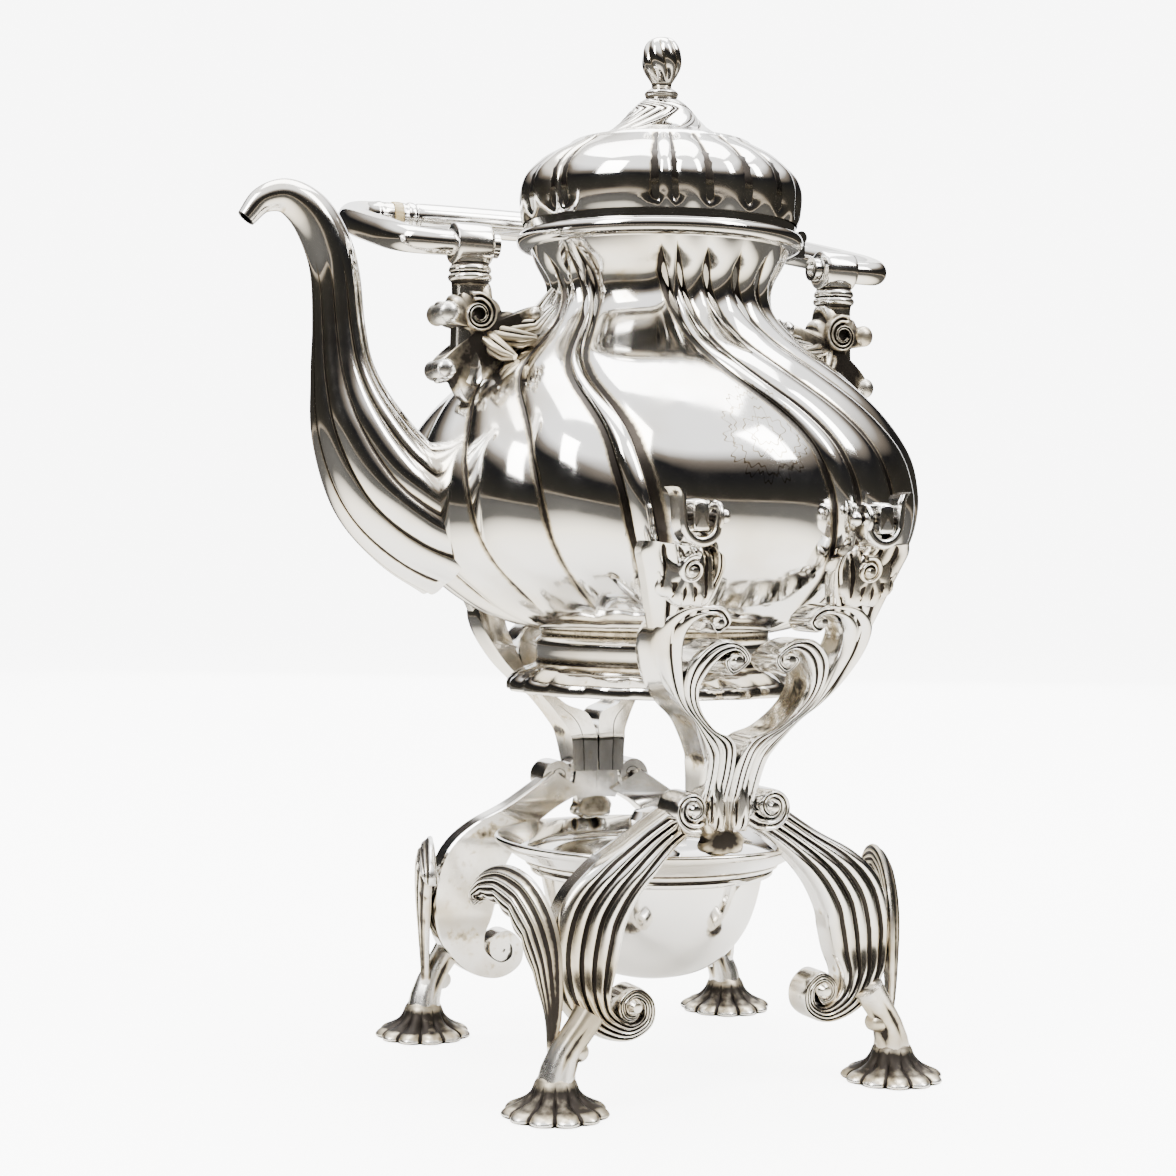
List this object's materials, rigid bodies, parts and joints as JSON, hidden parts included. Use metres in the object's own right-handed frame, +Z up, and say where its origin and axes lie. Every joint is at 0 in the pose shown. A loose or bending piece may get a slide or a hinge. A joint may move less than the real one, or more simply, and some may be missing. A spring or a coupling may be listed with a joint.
{
  "type": "spirit kettle on stand",
  "caption": "Swirl-fluted silver kettle with a swinging handle and hinged lid, on a scroll-legged stand with shell feet and a spirit burner.",
  "frame": {"origin": "on the table, in the middle of the stand's four feet, on the axis of the kettle", "axes": "+Z up, the spout points to -X, the stand's two side frames face -Y and +Y"},
  "size_m": [0.2801, 0.2216, 0.4],
  "materials": {
    "polished_silver": "polished, lightly worn, warm tarnish in the recesses",
    "cast_silver": "polished on the high places, blackened in the recesses",
    "ivory": "aged ivory, semi-gloss",
    "cotton": "braided cotton, charred at the tip"
  },
  "bodies": {
    "stand": {"left_waist_knot": "cast_silver", "left_heart_bracket": "cast_silver", "left_ring_bracket": "cast_silver", "right_waist_knot": "cast_silver", "right_heart_bracket": "cast_silver", "right_ring_bracket": "cast_silver", "left_front_leg": "cast_silver", "left_front_knee_leaf": "cast_silver", "left_front_shell_foot": "cast_silver", "left_front_fork": "cast_silver", "left_rear_leg": "cast_silver", "left_rear_knee_leaf": "cast_silver", "left_rear_shell_foot": "cast_silver", "left_rear_fork": "cast_silver", "right_front_leg": "cast_silver", "right_front_knee_leaf": "cast_silver", "right_front_shell_foot": "cast_silver", "right_front_fork": "cast_silver", "right_rear_leg": "cast_silver", "right_rear_knee_leaf": "cast_silver", "right_rear_shell_foot": "cast_silver", "right_rear_fork": "cast_silver", "burner_ring": "polished_silver"},
    "kettle": {"kettle_body": "polished_silver", "neck_collar": "polished_silver", "kettle_foot": "polished_silver", "spout": "polished_silver", "spout_strainer": "polished_silver", "hinge_leaf": "polished_silver", "hinge_pin": "polished_silver", "front_handle_post": "cast_silver", "front_pivot_button": "polished_silver", "rear_handle_post": "cast_silver", "rear_pivot_button": "polished_silver", "left_front_lug": "polished_silver", "left_front_lug_pin": "polished_silver", "left_rear_lug": "polished_silver", "left_rear_lug_pin": "polished_silver", "right_front_lug": "polished_silver", "right_front_lug_pin": "polished_silver", "right_rear_lug": "polished_silver", "right_rear_lug_pin": "polished_silver"},
    "lid": {"lid_dome": "polished_silver", "lid_bezel": "polished_silver", "lid_knuckle": "polished_silver", "finial": "polished_silver", "finial_nut": "polished_silver"},
    "handle": {"bail_grip": "polished_silver", "front_bail_arm": "polished_silver", "front_bail_insulator": "ivory", "rear_bail_arm": "polished_silver", "rear_bail_insulator": "ivory"},
    "burner": {"lamp_bowl": "polished_silver", "lamp_cover": "polished_silver", "wick_tube": "polished_silver", "wick": "cotton", "snuffer_hinge": "polished_silver", "snuffer_pin": "polished_silver"},
    "snuffer": {"snuffer_cap": "polished_silver"}
  },
  "joints": [
    {"name": "kettle_lift", "type": "slide", "parent": "stand", "child": "kettle", "axis": [0, 0, 1], "range_m": [0, 0.08]},
    {"name": "lid_hinge", "type": "hinge", "parent": "kettle", "child": "lid", "pos_m": [0.0588, 0, 0.3252], "axis": [0, 1, 0], "range_deg": [0, 90]},
    {"name": "handle_swing", "type": "hinge", "parent": "kettle", "child": "handle", "pos_m": [0, 0, 0.314], "axis": [1, 0, 0], "range_deg": [0, 153]},
    {"name": "burner_lift", "type": "slide", "parent": "stand", "child": "burner", "axis": [0, 0, 1], "range_m": [0, 0.025]},
    {"name": "snuffer_hinge", "type": "hinge", "parent": "burner", "child": "snuffer", "pos_m": [0.0115, 0, 0.0885], "axis": [0, 1, 0], "range_deg": [0, 105]}
  ]
}
